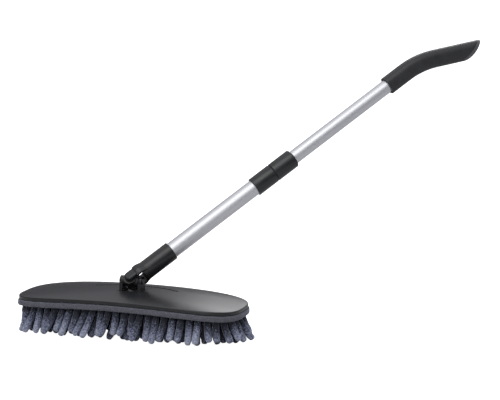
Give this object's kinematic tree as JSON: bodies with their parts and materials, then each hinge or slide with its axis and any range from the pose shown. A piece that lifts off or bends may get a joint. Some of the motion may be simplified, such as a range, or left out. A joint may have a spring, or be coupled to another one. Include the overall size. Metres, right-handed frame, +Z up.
{
  "type": "swivel head mop",
  "caption": "Chenille mop head under an arched oval plate, with a two-axis swivel, a telescopic tube pole with a twist collar, and a bent grip.",
  "frame": {"origin": "on the floor under the middle of the mop head", "axes": "+Z up, +X along the head towards the side the pole leans to, +Y towards the side the pole leans back to"},
  "size_m": [0.6235, 0.4179, 0.4211],
  "materials": {
    "plate_plastic": "satin charcoal moulding with a fine grain",
    "board_plastic": "plain black moulding",
    "joint_plastic": "satin black glass-filled nylon",
    "collar_plastic": "satin black moulding",
    "acetal": "natural acetal",
    "tube_aluminium": "satin anodised, drawn lengthwise",
    "zinc_steel": "zinc plated",
    "ring_rubber": "matt black",
    "grip_rubber": "soft-touch charcoal",
    "cap_plastic": "satin grey-black moulding",
    "hook_tape": "black hook tape",
    "pad_cloth": "grey loop cloth over foam",
    "hem_tape": "woven grey binding tape",
    "chenille": "blue-grey microfibre chenille"
  },
  "bodies": {
    "head": {"head_plate": "plate_plastic", "under_board": "board_plastic", "board_screws": "zinc_steel", "hook_strips": "hook_tape", "pad_base": "pad_cloth", "pad_hem": "hem_tape", "chenille_pile": "chenille", "swivel_base": "joint_plastic", "foot_screws": "zinc_steel", "tilt_pin": "zinc_steel", "pin_cap": "zinc_steel"},
    "knuckle": {"swivel_knuckle": "joint_plastic", "swing_dowels": "zinc_steel"},
    "lower_pole": {"fork_socket": "joint_plastic", "socket_screw": "zinc_steel", "outer_tube": "tube_aluminium", "collar_body": "collar_plastic", "collar_ring": "ring_rubber", "clamp_collet": "acetal"},
    "lock_nut": {"lock_nut": "collar_plastic"},
    "slide": {"slide_plug": "acetal"},
    "upper_pole": {"stop_ring": "acetal", "inner_tube": "tube_aluminium", "grip_core": "board_plastic", "grip_shell": "grip_rubber", "grip_screws": "zinc_steel", "grip_end_cap": "cap_plastic"}
  },
  "joints": [
    {"name": "tilt", "type": "hinge", "parent": "head", "child": "knuckle", "pos_m": [0, 0, 0.078], "axis": [-1, 0, 0], "range_deg": [-92, 8]},
    {"name": "swing", "type": "hinge", "parent": "knuckle", "child": "lower_pole", "pos_m": [0, 0, 0.078], "axis": [0, 0.7431, -0.6691], "range_deg": [-82, 1]},
    {"name": "lock_turn", "type": "hinge", "parent": "lower_pole", "child": "lock_nut", "pos_m": [0, 0, 0.078], "axis": [0.6521, 0.5073, 0.5634], "range_deg": [0, 120]},
    {"name": "telescope", "type": "slide", "parent": "lower_pole", "child": "slide", "axis": [0.6521, 0.5073, 0.5634], "range_m": [-0.175, 0]},
    {"name": "grip_turn", "type": "hinge", "parent": "slide", "child": "upper_pole", "pos_m": [0, 0, 0.078], "axis": [0.6521, 0.5073, 0.5634], "continuous": true}
  ]
}
